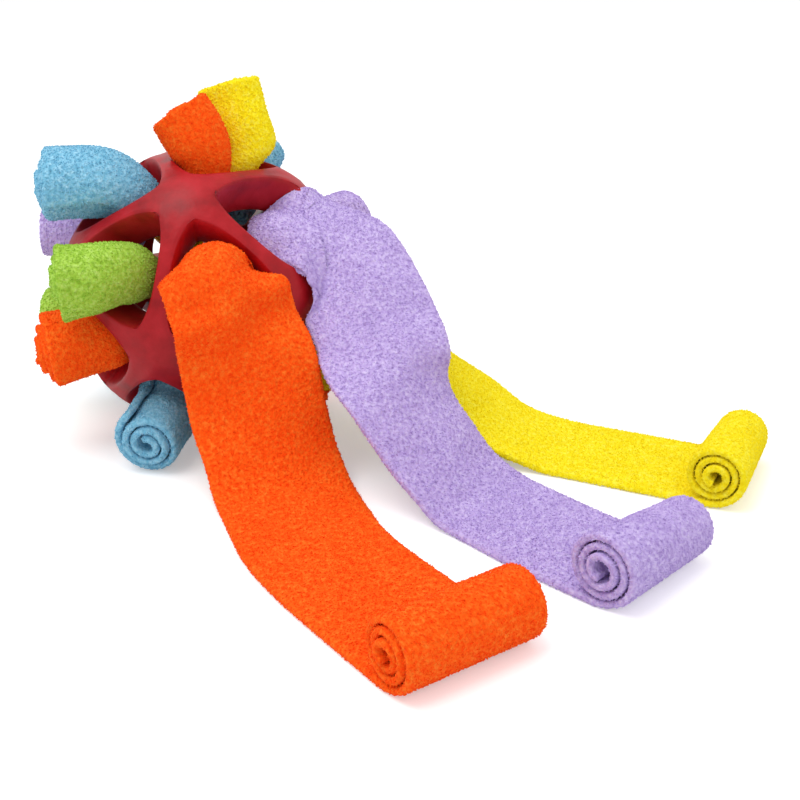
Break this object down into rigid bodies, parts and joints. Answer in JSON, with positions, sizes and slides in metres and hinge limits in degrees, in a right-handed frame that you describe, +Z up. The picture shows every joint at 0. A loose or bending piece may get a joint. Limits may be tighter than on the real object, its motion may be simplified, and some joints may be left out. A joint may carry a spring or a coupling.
{
  "type": "dog snuffle toy",
  "caption": "Rubber lattice ball with strips of fleece rolled up and pushed into its windows, and others pulled out and unrolled, to hide dry treats in.",
  "frame": {"origin": "Bottom centre of the toy's box: the point on the ground under the middle of the whole toy as it lies, with its strips unrolled.", "axes": "+Z up. -Y is the side that the picture was taken from, with +X to its right. The ball stands at the back left, and the unrolled strips run to the front right."},
  "size_m": [0.289, 0.2848, 0.1378],
  "materials": {
    "red_rubber": "satin moulded rubber",
    "orange_fleece": "nubby polar fleece",
    "purple_fleece": "nubby polar fleece",
    "yellow_fleece": "nubby polar fleece",
    "green_fleece": "nubby polar fleece",
    "blue_fleece": "nubby polar fleece"
  },
  "bodies": {
    "ball": {"rubber_cage": "red_rubber", "orange_strip": "orange_fleece", "purple_strip": "purple_fleece", "yellow_strip": "yellow_fleece", "blue_roll_front_floor": "blue_fleece", "orange_roll_right_floor": "orange_fleece", "blue_roll_back_floor": "blue_fleece"},
    "blue_roll_left_top_body": {"blue_roll_left_top": "blue_fleece"},
    "green_roll_left_body": {"green_roll_left": "green_fleece"},
    "orange_roll_left_body": {"orange_roll_left": "orange_fleece"},
    "purple_roll_left_back_body": {"purple_roll_left_back": "purple_fleece"},
    "green_roll_left_back_body": {"green_roll_left_back": "green_fleece"},
    "purple_roll_right_body": {"purple_roll_right": "purple_fleece"},
    "yellow_roll_right_low_body": {"yellow_roll_right_low": "yellow_fleece"},
    "blue_roll_back_top_body": {"blue_roll_back_top": "blue_fleece"},
    "yellow_roll_back_left_body": {"yellow_roll_back_left": "yellow_fleece"},
    "green_roll_back_low_body": {"green_roll_back_low": "green_fleece"},
    "purple_roll_back_right_body": {"purple_roll_back_right": "purple_fleece"},
    "green_roll_front_low_body": {"green_roll_front_low": "green_fleece"},
    "orange_roll_top_body": {"orange_roll_top": "orange_fleece"},
    "yellow_roll_top_body": {"yellow_roll_top": "yellow_fleece"}
  },
  "joints": [
    {"name": "blue_roll_left_top_pull", "type": "slide", "parent": "ball", "child": "blue_roll_left_top_body", "axis": [-0.5404, -0.2177, 0.8127], "range_m": [0, 0.012]},
    {"name": "green_roll_left_pull", "type": "slide", "parent": "ball", "child": "green_roll_left_body", "axis": [-0.4754, -0.7888, 0.3897], "range_m": [0, 0.012]},
    {"name": "orange_roll_left_pull", "type": "slide", "parent": "ball", "child": "orange_roll_left_body", "axis": [-0.743, -0.6208, -0.2502], "range_m": [0, 0.012]},
    {"name": "purple_roll_left_back_pull", "type": "slide", "parent": "ball", "child": "purple_roll_left_back_body", "axis": [-0.8482, 0.3032, 0.4343], "range_m": [0, 0.012]},
    {"name": "green_roll_left_back_pull", "type": "slide", "parent": "ball", "child": "green_roll_left_back_body", "axis": [-0.9734, 0.0541, -0.2226], "range_m": [0, 0.012]},
    {"name": "purple_roll_right_pull", "type": "slide", "parent": "ball", "child": "purple_roll_right_body", "axis": [0.743, 0.6208, 0.2502], "range_m": [0, 0.012]},
    {"name": "yellow_roll_right_low_pull", "type": "slide", "parent": "ball", "child": "yellow_roll_right_low_body", "axis": [0.8482, -0.3032, -0.4343], "range_m": [0, 0.012]},
    {"name": "blue_roll_back_top_pull", "type": "slide", "parent": "ball", "child": "blue_roll_back_top_body", "axis": [0.2126, 0.6534, 0.7266], "range_m": [0, 0.012]},
    {"name": "yellow_roll_back_left_pull", "type": "slide", "parent": "ball", "child": "yellow_roll_back_left_body", "axis": [-0.3828, 0.8416, 0.3811], "range_m": [0, 0.012]},
    {"name": "green_roll_back_low_pull", "type": "slide", "parent": "ball", "child": "green_roll_back_low_body", "axis": [-0.2204, 0.9252, -0.3088], "range_m": [0, 0.012]},
    {"name": "purple_roll_back_right_pull", "type": "slide", "parent": "ball", "child": "purple_roll_back_right_body", "axis": [0.4754, 0.7888, -0.3897], "range_m": [0, 0.012]},
    {"name": "green_roll_front_low_pull", "type": "slide", "parent": "ball", "child": "green_roll_front_low_body", "axis": [0.3828, -0.8416, -0.3811], "range_m": [0, 0.012]},
    {"name": "orange_roll_top_pull", "type": "slide", "parent": "ball", "child": "orange_roll_top_body", "axis": [0.032, 0.014, 0.9994], "range_m": [0, 0.012]},
    {"name": "yellow_roll_top_pull", "type": "slide", "parent": "ball", "child": "yellow_roll_top_body", "axis": [0.1152, -0.0013, 0.9933], "range_m": [0, 0.012]}
  ]
}
